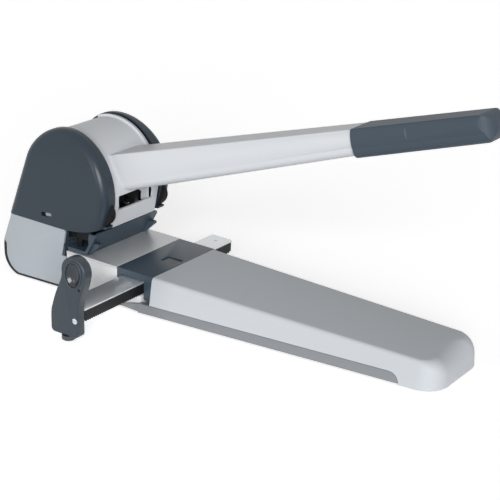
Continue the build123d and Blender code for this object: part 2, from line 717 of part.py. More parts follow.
def lever_section(distance, half, top, bottom, belly, heel):
    """Cross-section of the lever: narrow flat top, bellied sides, rounded underside."""
    shoulder = 1.6
    edges = []
    mid = (top + bottom) / 2
    low = bottom + heel
    arc_turn = heel * (1 - sqrt(0.5))
    right_low, left_low = half - 0.6, -half + 0.6
    edges.append(Line((-half + shoulder, top), (half - shoulder, top)))
    edges.append(ThreePointArc((half - shoulder, top), (half - 0.3 * shoulder, top - 0.3 * shoulder),
                               (half + 0.1, top - shoulder)))
    edges.append(ThreePointArc((half + 0.1, top - shoulder), (half + belly, mid), (right_low, low)))
    edges.append(ThreePointArc((right_low, low), (right_low - arc_turn, bottom + arc_turn),
                               (right_low - heel, bottom)))
    edges.append(Line((right_low - heel, bottom), (left_low + heel, bottom)))
    edges.append(ThreePointArc((left_low + heel, bottom), (left_low + arc_turn, bottom + arc_turn),
                               (left_low, low)))
    edges.append(ThreePointArc((left_low, low), (-half - belly, mid), (-half - 0.1, top - shoulder)))
    edges.append(ThreePointArc((-half - 0.1, top - shoulder), (-half + 0.3 * shoulder, top - 0.3 * shoulder),
                               (-half + shoulder, top)))
    return lever_plane(distance) * make_face(edges)


def bar_half(distance):
    """Half width of the bar at a distance from the drum axis."""
    return 21.0 - 0.0235 * (distance - 118.0)


def bar_top(distance):
    """Height of the bar's upper face across the lever."""
    return 21.2 - 0.025 * (distance - 118.0)


def bar_bottom(distance):
    """Height of the bar's underside across the lever."""
    return -15.9 + 0.0238 * (distance - 120.0)


def bar_solid(start, end, inset):
    """The tapering bar between two distances, moved in by inset."""
    sections = []
    for distance in (start, end):
        sections.append(lever_section(distance, bar_half(distance) - inset, bar_top(distance) - inset,
                                      bar_bottom(distance) + inset, 1.2, 9.0 - inset))
    return loft(sections, ruled=True)


def sector_face(outer, inner, first, last):
    """Ring sector about the axis between two angles from the front over the top, in (y, z)."""
    middle = (first + last) / 2
    return make_face([
        ThreePointArc(around_axis(outer, first), around_axis(outer, middle), around_axis(outer, last)),
        Line(around_axis(outer, last), around_axis(inner, last)),
        ThreePointArc(around_axis(inner, last), around_axis(inner, middle), around_axis(inner, first)),
        Line(around_axis(inner, first), around_axis(outer, first)),
    ])


def web_face(outer):
    """Web that carries the drum: a sector with a collar around the hub and a straight front edge."""
    web = sector_face(outer, WEB_RING - 1, -14, 100) + Pos(AXIS_Y, AXIS_Z) * Circle(WEB_RING)
    web += polygon((WEB_FRONT, WINDOW_LOW - 4), (WEB_FRONT, AXIS_Z + 1), (AXIS_Y - outer + 6, AXIS_Z + 6),
                   (AXIS_Y - outer + 8, WINDOW_LOW - 4))
    return web - Pos(AXIS_Y, AXIS_Z) * Circle(HUB_RADIUS + 0.03)


def drum_apron():
    """Flat front of the drum, leaning back to its foot, its ends drawn in there."""
    foot_y, foot_z = APRON_FOOT
    brow_y, brow_z = APRON_BROW
    inner_radius = DRUM_RADIUS - DRUM_WALL
    side = polygon((foot_y, foot_z), (foot_y + APRON_WALL, foot_z),
                   (brow_y + APRON_WALL + 1.0, brow_z - 8), (AXIS_Y - inner_radius + 0.6, AXIS_Z + 2),
                   (AXIS_Y - inner_radius + 3.0, AXIS_Z + 18), around_axis(DRUM_RADIUS - 0.3, 20),
                   (brow_y + 1.6, brow_z + 10), (brow_y, brow_z))
    front = make_face(Polyline((-APRON_HALF, foot_z - 1), (APRON_HALF, foot_z - 1), (DRUM_HALF, AXIS_Z - 3),
                               (DRUM_HALF, AXIS_Z + 30), (-DRUM_HALF, AXIS_Z + 30), (-DRUM_HALF, AXIS_Z - 3),
                               close=True))
    return across(side, -DRUM_HALF, DRUM_HALF) & extrude(Plane.XZ.offset(-100) * front, amount=60)


def lever_casting():
    """Drum and lever in one casting: curved wall, end beads, front apron with its window, hollow bar."""
    inner_radius = DRUM_RADIUS - DRUM_WALL
    casting = across(sector_face(DRUM_RADIUS, inner_radius, 0, DRUM_LAST), -DRUM_HALF, DRUM_HALF)
    for side in (-1, 1):
        bead = sector_face(BEAD_RADIUS, inner_radius, 4, 112)
        casting += across(bead, *sorted((side * 33.8, side * DRUM_HALF)))
    casting += drum_apron()
    core = rod_x(inner_radius + 1.5, -40, 40, AXIS_Y, AXIS_Z)
    bar = bar_solid(LEVER_ROOT, LEVER_END, 0.0) - core
    bore = bar_solid(LEVER_ROOT - 6, LEVER_END + 2, 3.2) - core
    brow = APRON_BROW[0]
    window = block((-WINDOW_HALF, WINDOW_HALF), (brow - 3, brow + 11), (WINDOW_LOW, WINDOW_HIGH))
    casting = casting + bar - bore - window
    for side in (-1, 1):
        casting += across(web_face(inner_radius + 1.0), *sorted(side * x for x in WEB_X))
    return casting


def drum_hub():
    """Sleeve on the shaft between the pinions, inside the drum's webs."""
    tube = rod_x(HUB_RADIUS, -PINION_INNER_X + 0.1, PINION_INNER_X - 0.1, AXIS_Y, AXIS_Z)
    return tube - rod_x(SHAFT_RADIUS + 0.03, -30, 30, AXIS_Y, AXIS_Z)


def main_shaft():
    """Shaft through both bearings, with a ring groove near each end."""
    shaft = rod_x(SHAFT_RADIUS, -51.5, 51.5, AXIS_Y, AXIS_Z)
    for side in (-1, 1):
        groove_x = sorted((side * 49.9, side * 51.0))
        outer = rod_x(SHAFT_RADIUS + 1, *groove_x, AXIS_Y, AXIS_Z)
        shaft -= outer - rod_x(SHAFT_RADIUS - 0.6, *groove_x, AXIS_Y, AXIS_Z)
    return shaft


def shaft_ring(side):
    """Spring clip in the shaft's end groove."""
    x = sorted((side * 50.0, side * 50.9))
    outer = rod_x(SHAFT_RADIUS + 2.4, *x, AXIS_Y, AXIS_Z)
    bore = rod_x(SHAFT_RADIUS - 0.5, x[0] - 1, x[1] + 1, AXIS_Y, AXIS_Z)
    gap = block((x[0] - 1, x[1] + 1), (AXIS_Y - 1.5, AXIS_Y + 1.5), (AXIS_Z - 12, AXIS_Z))
    return outer - bore - gap


def lever_point(distance, height):
    """Point in the YZ plane at a distance along the lever and a height across it."""
    turn = radians(LEVER_ANGLE)
    return (AXIS_Y - distance * cos(turn) + height * sin(turn),
            AXIS_Z + distance * sin(turn) + height * cos(turn))


def grip_profile():
    """Side view of the grip: slanted start, blunt rounded nose."""
    top_rear, low_rear = lever_point(GRIP_START + 4, 20), lever_point(GRIP_START - 1, -20)
    nose_top, nose_low = lever_point(GRIP_END - 12, 20), lever_point(GRIP_END - 20, -20)
    crown = lever_point(GRIP_END - 12, 13.4)
    tip = lever_point(GRIP_END, -3)
    chin = lever_point(GRIP_END - 17, -13.4)
    return make_face([
        Line(low_rear, top_rear),
        Line(top_rear, nose_top),
        Line(nose_top, crown),
        ThreePointArc(crown, tip, chin),
        Line(chin, nose_low),
        Line(nose_low, low_rear),
    ])


def grip_half(distance):
    """Half width of the grip at a distance from the drum axis."""
    return 18.4 - 0.0175 * (distance - GRIP_START)


def lever_grip():
    """Soft grip over the bar's end, slightly proud of it, with a rounded nose."""
    sections = []
    for distance in (GRIP_START, GRIP_END):
        fall = distance - GRIP_START
        sections.append(lever_section(distance, grip_half(distance), 16.0 - 0.022 * fall,
                                      -12.6 - 0.004 * fall, 0.8, 10.0))
    body = loft(sections, ruled=True)
    body -= bar_solid(LEVER_ROOT, LEVER_END + 0.05, -0.02)
    start = lever_plane(GRIP_START).origin
    turn = radians(LEVER_ANGLE)
    plan = Plane(origin=start, x_dir=(1, 0, 0), z_dir=(0, sin(turn), cos(turn)))
    half = grip_half(GRIP_END) + 2.0
    length = GRIP_END - GRIP_START
    nose = make_face(Polyline((-30, 5), (30, 5), (30, -40), (half, -60), (half, -length), (-half, -length),
                              (-half, -60), (-30, -40), close=True))
    corners = nose.vertices().sort_by(Axis.Y)[:2]
    nose = fillet(corners, 15.5)
    envelope = extrude(plan * nose, amount=40, both=True)
    return body & envelope & across(grip_profile(), -30, 30)


# ---------------------------------------------------------------- gears and punches

def involute_angle(radius):
    """Turn from the pitch point to the involute flank at a radius."""
    def spread(at_radius):
        base = PINION_RADIUS * cos(radians(PRESSURE_ANGLE))
        pressure = acos(min(1.0, base / at_radius))
        return tan(pressure) - pressure
    half_tooth = (pi * GEAR_MODULE / 2 - BACKLASH) / 2
    return half_tooth / PINION_RADIUS + spread(PINION_RADIUS) - spread(radius)


def pinion(side):
    """Involute pinion with the middle of one tooth pointing straight at the rack."""
    root = PINION_RADIUS - 1.25 * GEAR_MODULE
    tip = PINION_RADIUS + 0.92 * GEAR_MODULE
    base = PINION_RADIUS * cos(radians(PRESSURE_ANGLE))
    radii = [root] + [base + (tip - base) * k / 4 for k in range(5)]
    points = []
    for tooth in range(PINION_TEETH):
        middle = pi + 2 * pi * tooth / PINION_TEETH
        flank = [(r, involute_angle(max(r, base))) for r in radii]
        points += [(r * cos(middle - a), r * sin(middle - a)) for r, a in flank]
        points += [(r * cos(middle + a), r * sin(middle + a)) for r, a in reversed(flank)]
    x = sorted((side * PINION_INNER_X, side * PINION_OUTER_X))
    face = Pos(AXIS_Y, AXIS_Z) * make_face(Polyline(*points, close=True))
    return across(face, *x) - rod_x(SHAFT_RADIUS + 0.03, x[0] - 1, x[1] + 1, AXIS_Y, AXIS_Z)


def rack(side):
    """Upright rack in front of the pinion, a tooth space level with the shaft."""
    pitch = pi * GEAR_MODULE
    line = AXIS_Y - PINION_RADIUS
    slope = tan(radians(PRESSURE_ANGLE))
    tip_y = line + 0.92 * GEAR_MODULE
    root_y = line - 1.25 * GEAR_MODULE
    half_at_line = pitch / 4 - BACKLASH / 4
    half_root = half_at_line + (line - root_y) * slope
    half_tip = half_at_line - (tip_y - line) * slope
    points = [(90.0, BEAM_HIGH), (root_y, BEAM_HIGH)]
    for step in range(-6, 1):
        centre = AXIS_Z + (step + 0.5) * pitch
        points += [(root_y, centre - half_root), (tip_y, centre - half_tip),
                   (tip_y, centre + half_tip), (root_y, centre + half_root)]
    points += [(root_y, RACK_TOP), (90.0, RACK_TOP)]
    return across(polygon(*points), *sorted((side * PINION_INNER_X, side * PINION_OUTER_X)))


def punch_beam():
    """Crossbar that drives both punches, with two arms back to the guide columns."""
    height = (BEAM_LOW, BEAM_HIGH)
    bar = block((-44, 44), (BEAM_FRONT, BEAM_REAR), height)
    for side in (-1, 1):
        bar += block(sorted((side * 37.0, side * 44.6)), (BEAM_REAR - 1, COLUMN_Y + 5.5), height)
        pinion_slot_x = sorted((side * (PINION_INNER_X - 0.6), side * (PINION_OUTER_X + 0.6)))
        bar -= block(pinion_slot_x, (98, BEAM_REAR + 1), (0, 40))
        bar -= rod_z(COLUMN_RADIUS + RUNNING_GAP, side * COLUMN_X, COLUMN_Y, 0, 40)
        bar -= rod_z(SHANK_RADIUS + 0.03, side * PUNCH_X, PUNCH_Y, 0, 40)
        bar -= rod_z(PIN_RADIUS + RUNNING_GAP, side * PIN_X, PUNCH_Y, 0, 40)
        bar -= rod_y(1.6, side * PUNCH_X, BEAM_FRONT - 1, PUNCH_Y - SHANK_RADIUS, 20)
    return bar


def punch_screw(side):
    """Set screw that holds a punch in the beam."""
    return rod_y(1.5, side * PUNCH_X, BEAM_FRONT + 3, PUNCH_Y - SHANK_RADIUS - 0.05, 20)


def punch(side):
    """Hollow punch: thick shank in the beam, cutting tube below."""
    x = side * PUNCH_X
    shank = rod_z(SHANK_RADIUS, x, PUNCH_Y, BEAM_LOW - 3, BEAM_HIGH)
    tube = rod_z(PUNCH_RADIUS, x, PUNCH_Y, -3.6, BEAM_LOW - 3)
    chip_way = rod_z(1.9, x, PUNCH_Y, -5, BEAM_HIGH + 1)
    return shank + tube - chip_way


def guide_column(side):
    """Upright column behind the stop that keeps the beam level."""
    return rod_z(COLUMN_RADIUS, side * COLUMN_X, COLUMN_Y, -2.2, 57.5)


# ---------------------------------------------------------------- presser

def presser_outline():
    """Front view of the skirt, its upper corners rounded to pass inside the caps."""
    outline = Pos(0, PRESSER_TOP / 2) * Rectangle(2 * PRESSER_HALF, PRESSER_TOP)
    return fillet(outline.vertices().sort_by(Axis.Y)[-2:], PRESSER_CORNER)


def presser_face_y(z):
    """The skirt's front face at height z."""
    return PRESSER_FRONT - (z - PRESSER_FOOT) * tan(radians(PRESSER_LEAN))


def presser_wing():
    """Left ear: a stout fin in front of the skirt's end that leads the paper in."""
    tip_y, tip_z = WING_TIP
    face = polygon((PRESSER_FRONT - 1.6, PRESSER_FOOT), (tip_y, tip_z - 1.6), (tip_y, tip_z),
                   (tip_y + 1.6, tip_z + 0.8), (presser_face_y(tip_z) + 1.5, tip_z + 0.8),
                   (PRESSER_FRONT + 1.0, PRESSER_FOOT))
    return across(face, -WING_X[1], -WING_X[0])


def pointer_notch(x):
    """Arrow-shaped notch in the skirt's lower edge, over a punch."""
    mark = make_face(Polyline((x - 2.6, -1), (x + 2.6, -1), (x, 11), close=True))
    return extrude(Plane.XZ.offset(-90.6) * mark, amount=20)


def presser_plate():
    """Slate skirt that holds the paper down: flat foot with the punch holes, leaning face, short cheeks."""
    front = PRESSER_FRONT
    top_front = presser_face_y(PRESSER_TOP)
    profile = polygon((front, PRESSER_FOOT), (top_front, PRESSER_TOP), (top_front + 2.9, PRESSER_TOP),
                      (front + 1.5, 4.2), (117.2, 4.2), (117.2, PRESSER_FOOT))
    plate = across(profile, -PRESSER_HALF, PRESSER_HALF)
    cheek_face = polygon((front - 1.0, PRESSER_FOOT + 1), (top_front, PRESSER_TOP), (CHEEK_REAR, PRESSER_TOP),
                         (CHEEK_REAR, 6.5), (front + 1.0, 4.2))
    for side in (-1, 1):
        plate += across(cheek_face, *sorted((side * (PRESSER_HALF - 1.4), side * PRESSER_HALF)))
    plate &= extrude(Plane.XZ.offset(-130) * presser_outline(), amount=80)
    wing = presser_wing()
    plate += wing + mirrored(wing)
    for side in (-1, 1):
        plate -= rod_z(PUNCH_RADIUS + 0.5, side * PUNCH_X, PUNCH_Y, -1, 10)
        plate -= pointer_notch(side * PUNCH_X)
    return plate


def presser_pins():
    """Two guide pins standing on the presser's foot, sliding through the beam."""
    pins = [rod_z(PIN_RADIUS, side * PIN_X, PUNCH_Y, 4.2, BEAM_HIGH + 7) for side in (-1, 1)]
    return group(*pins)


def presser_springs():
    """Coil springs around the pins between the presser and the beam."""
    wire = 0.6
    height = BEAM_LOW - 4.2 - 2 * wire - 0.3
    springs = []
    for side in (-1, 1):
        helix = Helix(pitch=height / 4, height=height, radius=4.2)
        profile = Plane(origin=helix @ 0, z_dir=helix % 0) * Circle(wire)
        springs.append(Pos(side * PIN_X, PUNCH_Y, 4.2 + wire + 0.1) * sweep(profile, path=helix))
    return group(*springs)


# ---------------------------------------------------------------- assembly

def build_parts():
    """Every sub-part by name, in the machine's own frame."""
    bumper = bumper_solid()
    clip = cap_clip_left()
    cap = cap_left()
    return {
        "tray_cover": tray_cover(),
        "tray_plinth": tray_plinth(),
        "rail_bridge": rail_bridge(),
        "format_window": format_window(),
        "guide_rail": guide_rail(),
        "rail_strip": rail_strip(),
        "rail_glides": rail_glides(),
        "rail_detent": rail_detent(),
        "guide_arm": guide_arm(),
        "release_button": release_button(),
        "button_spring": button_spring(),
        "arm_screw": arm_screw(),
        "arm_foot": arm_foot(),
        "base_casting": base_casting(),
        "platform_plate": platform_plate(),
        "die_block": die_block(),
        "die_left": die(-1),
        "die_right": die(1),
        "back_stop": back_stop(),
        "side_panel_left": side_panel(-1),
        "side_panel_right": side_panel(1),
        "base_pan": base_pan(),
        "chip_drawer": chip_drawer(),
        "chassis_plate": chassis_plate(),
        "rubber_feet": rubber_feet(),
        "rear_cover": rear_cover(),
        "side_frame_left": side_frame(-1),
        "side_frame_right": side_frame(1),
        "tie_bars": tie_bars(),
        "frame_screws": frame_screws(),
        "bearing_bush_left": bearing_bush(-1),
        "bearing_bush_right": bearing_bush(1),
        "guide_column_left": guide_column(-1),
        "guide_column_right": guide_column(1),
        "cap_left": cap,
        "cap_right": mirrored(cap),
        "cap_bumper_left": bumper,
        "cap_bumper_right": mirrored(bumper),
        "cap_clips": group(clip, mirrored(clip)),
        "lever_casting": lever_casting(),
        "lever_grip": lever_grip(),
        "drum_hub": drum_hub(),
        "main_shaft": main_shaft(),
        "shaft_ring_left": shaft_ring(-1),
        "shaft_ring_right": shaft_ring(1),
        "pinion_left": pinion(-1),
        "pinion_right": pinion(1),
        "rack_left": rack(-1),
        "rack_right": rack(1),
        "punch_beam": punch_beam(),
        "punch_left": punch(-1),
        "punch_right": punch(1),
        "punch_screw_left": punch_screw(-1),
        "punch_screw_right": punch_screw(1),
        "presser_plate": presser_plate(),
        "presser_pins": presser_pins(),
        "presser_springs": presser_springs(),
    }


def stance(parts):
    """Placement that stands the machine on the table with its origin under the middle of its box."""
    stand = Pos(0, 0, TABLE_DROP * cos(radians(TILT))) * Rot(TILT, 0, 0)
    box = Compound(children=[stand * part for part in parts.values()]).bounding_box()
    middle = box.center()
    return Pos(-middle.X, -middle.Y, 0) * stand


def main():
    """Write every sub-part to its own STEP file."""
    os.makedirs("parts", exist_ok=True)
    parts = build_parts()
    placed = stance(parts)
    for name, part in parts.items():
        export_step(placed * part, f"parts/{name}.step")


if __name__ == "__main__":
    main()
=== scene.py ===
"""Looks of the lever paper punch: finishes, modelled pieces, a pale studio and the camera.

The pieces' sizes are in millimetres, which MM turns into metres. The studio's are in metres, apart from
those whose names end in mm. The machine is laid out in its own frame, as its construction is: X = 0 is the
centre plane, Y = 0 the rear end of the tray, Z = 0 the paper surface. MachineFrame carries such a place
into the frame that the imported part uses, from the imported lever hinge.
"""

import json
import logging
import math
from dataclasses import dataclass, field
from enum import Enum

import bpy
from mathutils import Matrix, Vector

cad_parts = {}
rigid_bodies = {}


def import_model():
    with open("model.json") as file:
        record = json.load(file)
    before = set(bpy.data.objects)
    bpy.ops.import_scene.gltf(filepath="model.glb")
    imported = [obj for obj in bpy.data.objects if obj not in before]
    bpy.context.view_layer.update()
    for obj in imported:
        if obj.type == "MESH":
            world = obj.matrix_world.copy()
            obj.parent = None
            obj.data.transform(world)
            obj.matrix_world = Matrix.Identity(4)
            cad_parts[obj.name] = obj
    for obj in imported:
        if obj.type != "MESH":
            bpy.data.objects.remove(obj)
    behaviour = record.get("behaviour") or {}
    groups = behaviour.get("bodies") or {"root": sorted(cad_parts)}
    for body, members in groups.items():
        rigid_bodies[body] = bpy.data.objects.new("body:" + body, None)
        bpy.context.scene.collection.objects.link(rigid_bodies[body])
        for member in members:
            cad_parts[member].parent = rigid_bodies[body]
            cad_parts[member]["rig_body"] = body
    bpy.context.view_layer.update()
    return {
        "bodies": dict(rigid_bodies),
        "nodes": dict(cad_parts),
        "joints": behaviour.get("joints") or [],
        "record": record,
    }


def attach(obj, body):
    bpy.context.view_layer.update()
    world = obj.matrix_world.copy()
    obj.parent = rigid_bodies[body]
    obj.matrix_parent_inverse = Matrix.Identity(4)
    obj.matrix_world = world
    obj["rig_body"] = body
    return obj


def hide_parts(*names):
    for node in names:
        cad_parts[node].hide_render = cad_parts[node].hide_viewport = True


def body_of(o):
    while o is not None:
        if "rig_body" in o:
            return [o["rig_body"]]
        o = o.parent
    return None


LOG = logging.getLogger("paper_punch")

MM = 0.001
TILT = math.radians(2.0)                    # the paper surface's rise towards the rear
HINGE_AT = Vector((0.0, 126.5, 67.3)) * MM  # the lever's axis in the machine's own frame
TABLE_DROP = 41.1                           # paper surface above the table at Y = 0, in millimetres
MERGE = 0.000004                            # points closer than this, in metres, are one
FLAT_ANGLE = math.radians(0.6)              # faces that meet at less become one
ROUNDED_ANGLE = math.radians(32.0)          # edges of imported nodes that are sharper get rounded
ROUNDING_STEPS = 3
SMOOTH_ANGLE = math.radians(38.0)           # edges that are sharper stay crisp in the shading
OVAL_SMOOTH_ANGLE = math.radians(42.0)
WHITE = (1.0, 1.0, 1.0, 1.0)
COAT_ROUGHNESS = 0.12
SPRAY_DETAIL = 2.0                          # layers of noise in sprayed paint
GRAIN_DETAIL = 4.0                          # layers of noise in the other grains
GRAIN_DEPTH = 0.2                           # depth of the grain's relief, as a share of its size
BRUSH_STRETCH = 0.02                        # scale of the brushed grain along X


class Grain(Enum):
    """What breaks up a finish at small scale."""

    FINE_SPRAY = "fine_spray"
    MOULDED = "moulded"
    BRUSHED = "brushed"


@dataclass(frozen=True)
class Finish:
    """One surface finish, in scene-linear terms worked out from its sRGB colour.

    Args:
        name: The finish's own name.
        colour: sRGB colour, each channel 0 to 255.
        roughness: Middle roughness.
        metallic: Share of metal in the surface.
        grain: The kind of fine texture.
        grain_mm: Size of the grain in millimetres.
        bump: Strength of the grain's relief.
        variation: How far the grain moves the colour and the roughness.
        coat: Weight of a clear coat.
        specular: Level of the uncoated surface's own reflection.
    """

    name: str
    colour: tuple[int, int, int]
    roughness: float
    metallic: float = 0.0
    grain: Grain = Grain.MOULDED
    grain_mm: float = 0.5
    bump: float = 0.06
    variation: float = 0.05
    coat: float = 0.0
    specular: float = 0.35

    def linear(self, gain: float = 1.0) -> tuple[float, float, float, float]:
        """Scene-linear colour, by the sRGB curve.

        Args:
            gain: How far the colour is brightened.

        Returns:
            Red, green, blue and a full alpha.
        """
        channels = []
        for value in self.colour:
            share = value / 255.0
            channels.append(share / 12.92 if share <= 0.04045 else ((share + 0.055) / 1.055) ** 2.4)
        return (*(min(1.0, channel * gain) for channel in channels), 1.0)

    def material(self) -> bpy.types.Material:
        """Builds the procedural material of this finish.

        Returns:
            A node material that reads Object coordinates.
        """
        material = bpy.data.materials.new(self.name)
        material.use_nodes = True
        nodes, links = material.node_tree.nodes, material.node_tree.links
        shader = nodes["Principled BSDF"]
        shader.inputs["Base Color"].default_value = self.linear()
        shader.inputs["Roughness"].default_value = self.roughness
        shader.inputs["Metallic"].default_value = self.metallic
        shader.inputs["Specular IOR Level"].default_value = self.specular
        shader.inputs["Coat Weight"].default_value = self.coat
        shader.inputs["Coat Roughness"].default_value = COAT_ROUGHNESS
        place = nodes.new("ShaderNodeTexCoord")
        mapping = nodes.new("ShaderNodeMapping")
        noise = nodes.new("ShaderNodeTexNoise")
        links.new(place.outputs["Object"], mapping.inputs["Vector"])
        links.new(mapping.outputs["Vector"], noise.inputs["Vector"])
        noise.inputs["Scale"].default_value = 1.0 / (self.grain_mm * MM)
        detail = SPRAY_DETAIL if self.grain is Grain.FINE_SPRAY else GRAIN_DETAIL
        noise.inputs["Detail"].default_value = detail
        if self.grain is Grain.BRUSHED:
            mapping.inputs["Scale"].default_value = (BRUSH_STRETCH, 1.0, 1.0)
        tint = nodes.new("ShaderNodeMapRange")
        links.new(noise.outputs["Fac"], tint.inputs["Value"])
        tint.inputs["To Min"].default_value = 1.0 - self.variation
        tint.inputs["To Max"].default_value = 1.0 + self.variation
        shade = nodes.new("ShaderNodeMix")
        shade.data_type = "RGBA"
        shade.inputs["A"].default_value = self.linear(1.0 - self.variation)
        shade.inputs["B"].default_value = self.linear(1.0 + self.variation)
        links.new(noise.outputs["Fac"], shade.inputs["Factor"])
        links.new(shade.outputs["Result"], shader.inputs["Base Color"])
        rough = nodes.new("ShaderNodeMath")
        rough.operation = "MULTIPLY"
        rough.inputs[1].default_value = self.roughness
        links.new(tint.outputs["Result"], rough.inputs[0])
        links.new(rough.outputs["Value"], shader.inputs["Roughness"])
        relief = nodes.new("ShaderNodeBump")
        relief.inputs["Strength"].default_value = self.bump
        relief.inputs["Distance"].default_value = self.grain_mm * MM * GRAIN_DEPTH
        links.new(noise.outputs["Fac"], relief.inputs["Height"])
        links.new(relief.outputs["Normal"], shader.inputs["Normal"])
        return material


SILVER_PAINT = Finish("silver_paint", (204, 207, 211), roughness=0.38, metallic=0.05,
                      grain=Grain.FINE_SPRAY, grain_mm=0.35, bump=0.05, variation=0.03, specular=0.25)
TRAY_PAINT = Finish("tray_paint", (194, 198, 203), roughness=0.45, grain=Grain.FINE_SPRAY, grain_mm=0.35,
                    bump=0.05, variation=0.03, specular=0.15)
PANEL_PAINT = Finish("panel_paint", (165, 172, 178), roughness=0.45, grain=Grain.FINE_SPRAY,
                     grain_mm=0.35, bump=0.05, variation=0.03, specular=0.2)
LIGHT_PAINT = Finish("light_paint", (214, 215, 216), roughness=0.45, grain=Grain.FINE_SPRAY, bump=0.05,
                     variation=0.02)
CAP_PLASTIC = Finish("cap_plastic", (41, 52, 61), roughness=0.30, bump=0.04, specular=0.3)
SLATE_PLASTIC = Finish("slate_plastic", (59, 72, 84), roughness=0.38, specular=0.3)
ARM_PLASTIC = Finish("arm_plastic", (44, 54, 63), roughness=0.34, specular=0.45)
SLATE_GRIP = Finish("slate_grip", (62, 73, 84), roughness=0.52, grain_mm=0.6, bump=0.12, specular=0.25)
GREY_PLASTIC = Finish("grey_plastic", (132, 135, 139), roughness=0.5, grain_mm=0.6, bump=0.08,
                      variation=0.04)
BLACK_PLASTIC = Finish("black_plastic", (22, 23, 25), roughness=0.42, grain_mm=0.6, bump=0.08,
                       specular=0.25)
BUTTON_PLASTIC = Finish("button_plastic", (34, 40, 47), roughness=0.20, bump=0.03, variation=0.04,
                        coat=0.3, specular=0.4)
WINDOW_PLASTIC = Finish("window_plastic", (22, 25, 29), roughness=0.14, grain_mm=0.8, bump=0.01,
                        variation=0.03, specular=0.25)
BLACK_RUBBER = Finish("black_rubber", (20, 20, 21), roughness=0.7, bump=0.2, variation=0.06, specular=0.2)
PLATFORM_STEEL = Finish("platform_steel", (200, 202, 204), roughness=0.40, metallic=0.4,
                        grain=Grain.BRUSHED, grain_mm=0.25, bump=0.08, variation=0.04)
FRAME_STEEL = Finish("frame_steel", (74, 76, 80), roughness=0.45, metallic=0.6, grain=Grain.BRUSHED,
                     grain_mm=0.3, bump=0.08)
HARDENED_STEEL = Finish("hardened_steel", (88, 90, 94), roughness=0.32, metallic=0.8, grain=Grain.BRUSHED,
                        grain_mm=0.2)
# Blackened steel made near-black: partly the steel's own blackened tone, partly painted shade, so the punches
# in the throat read as shaded.
BLACKENED_STEEL_WITH_PAINTED_SHADE = Finish("blackened_steel", (20, 21, 23), roughness=0.5, metallic=0.1,
                         grain=Grain.BRUSHED, grain_mm=0.3, variation=0.06, specular=0.15)
BRIGHT_STEEL = Finish("bright_steel", (216, 219, 222), roughness=0.26, metallic=0.7, grain=Grain.BRUSHED,
                      grain_mm=0.2, bump=0.02, variation=0.02)
BUSH_BRONZE = Finish("bush_bronze", (168, 132, 82), roughness=0.38, metallic=0.95, grain=Grain.BRUSHED,
                     grain_mm=0.3)

FINISHES = (
    SILVER_PAINT, TRAY_PAINT, PANEL_PAINT, LIGHT_PAINT, CAP_PLASTIC, SLATE_PLASTIC, ARM_PLASTIC, SLATE_GRIP,
    GREY_PLASTIC, BLACK_PLASTIC, BUTTON_PLASTIC, WINDOW_PLASTIC, BLACK_RUBBER, PLATFORM_STEEL, FRAME_STEEL,
    HARDENED_STEEL, BLACKENED_STEEL_WITH_PAINTED_SHADE, BRIGHT_STEEL, BUSH_BRONZE,
)

OWN_FINISH = {
    "cap_left": CAP_PLASTIC, "cap_right": CAP_PLASTIC, "cap_clips": GREY_PLASTIC, "guide_arm": ARM_PLASTIC,
    "tray_cover": TRAY_PAINT,
}


class MachineFrame:
    """Carries a place in the machine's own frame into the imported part's frame."""

    def __init__(self, frame: dict) -> None:
        """Reads the lever's hinge, which is at a known place on the machine.

        Args:
            frame: What the frame's load call returned.
        """
        hinge = next(joint for joint in frame["joints"] if joint["name"] == "lever_hinge")
        self.hinge = Vector(hinge["pos_m"])
        turn = Matrix.Rotation(TILT, 4, "X")
        self.matrix = Matrix.Translation(self.hinge) @ turn @ Matrix.Translation(-HINGE_AT)

    def settle(self, piece: bpy.types.Object) -> None:
        """Moves a piece's mesh from the machine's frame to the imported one; the object stays at the origin.

        Args:
            piece: The piece, modelled in the machine's frame.
        """
        Workbench.pick(piece)
        piece.matrix_world = self.matrix
        bpy.ops.object.transform_apply(location=True, rotation=True, scale=True)


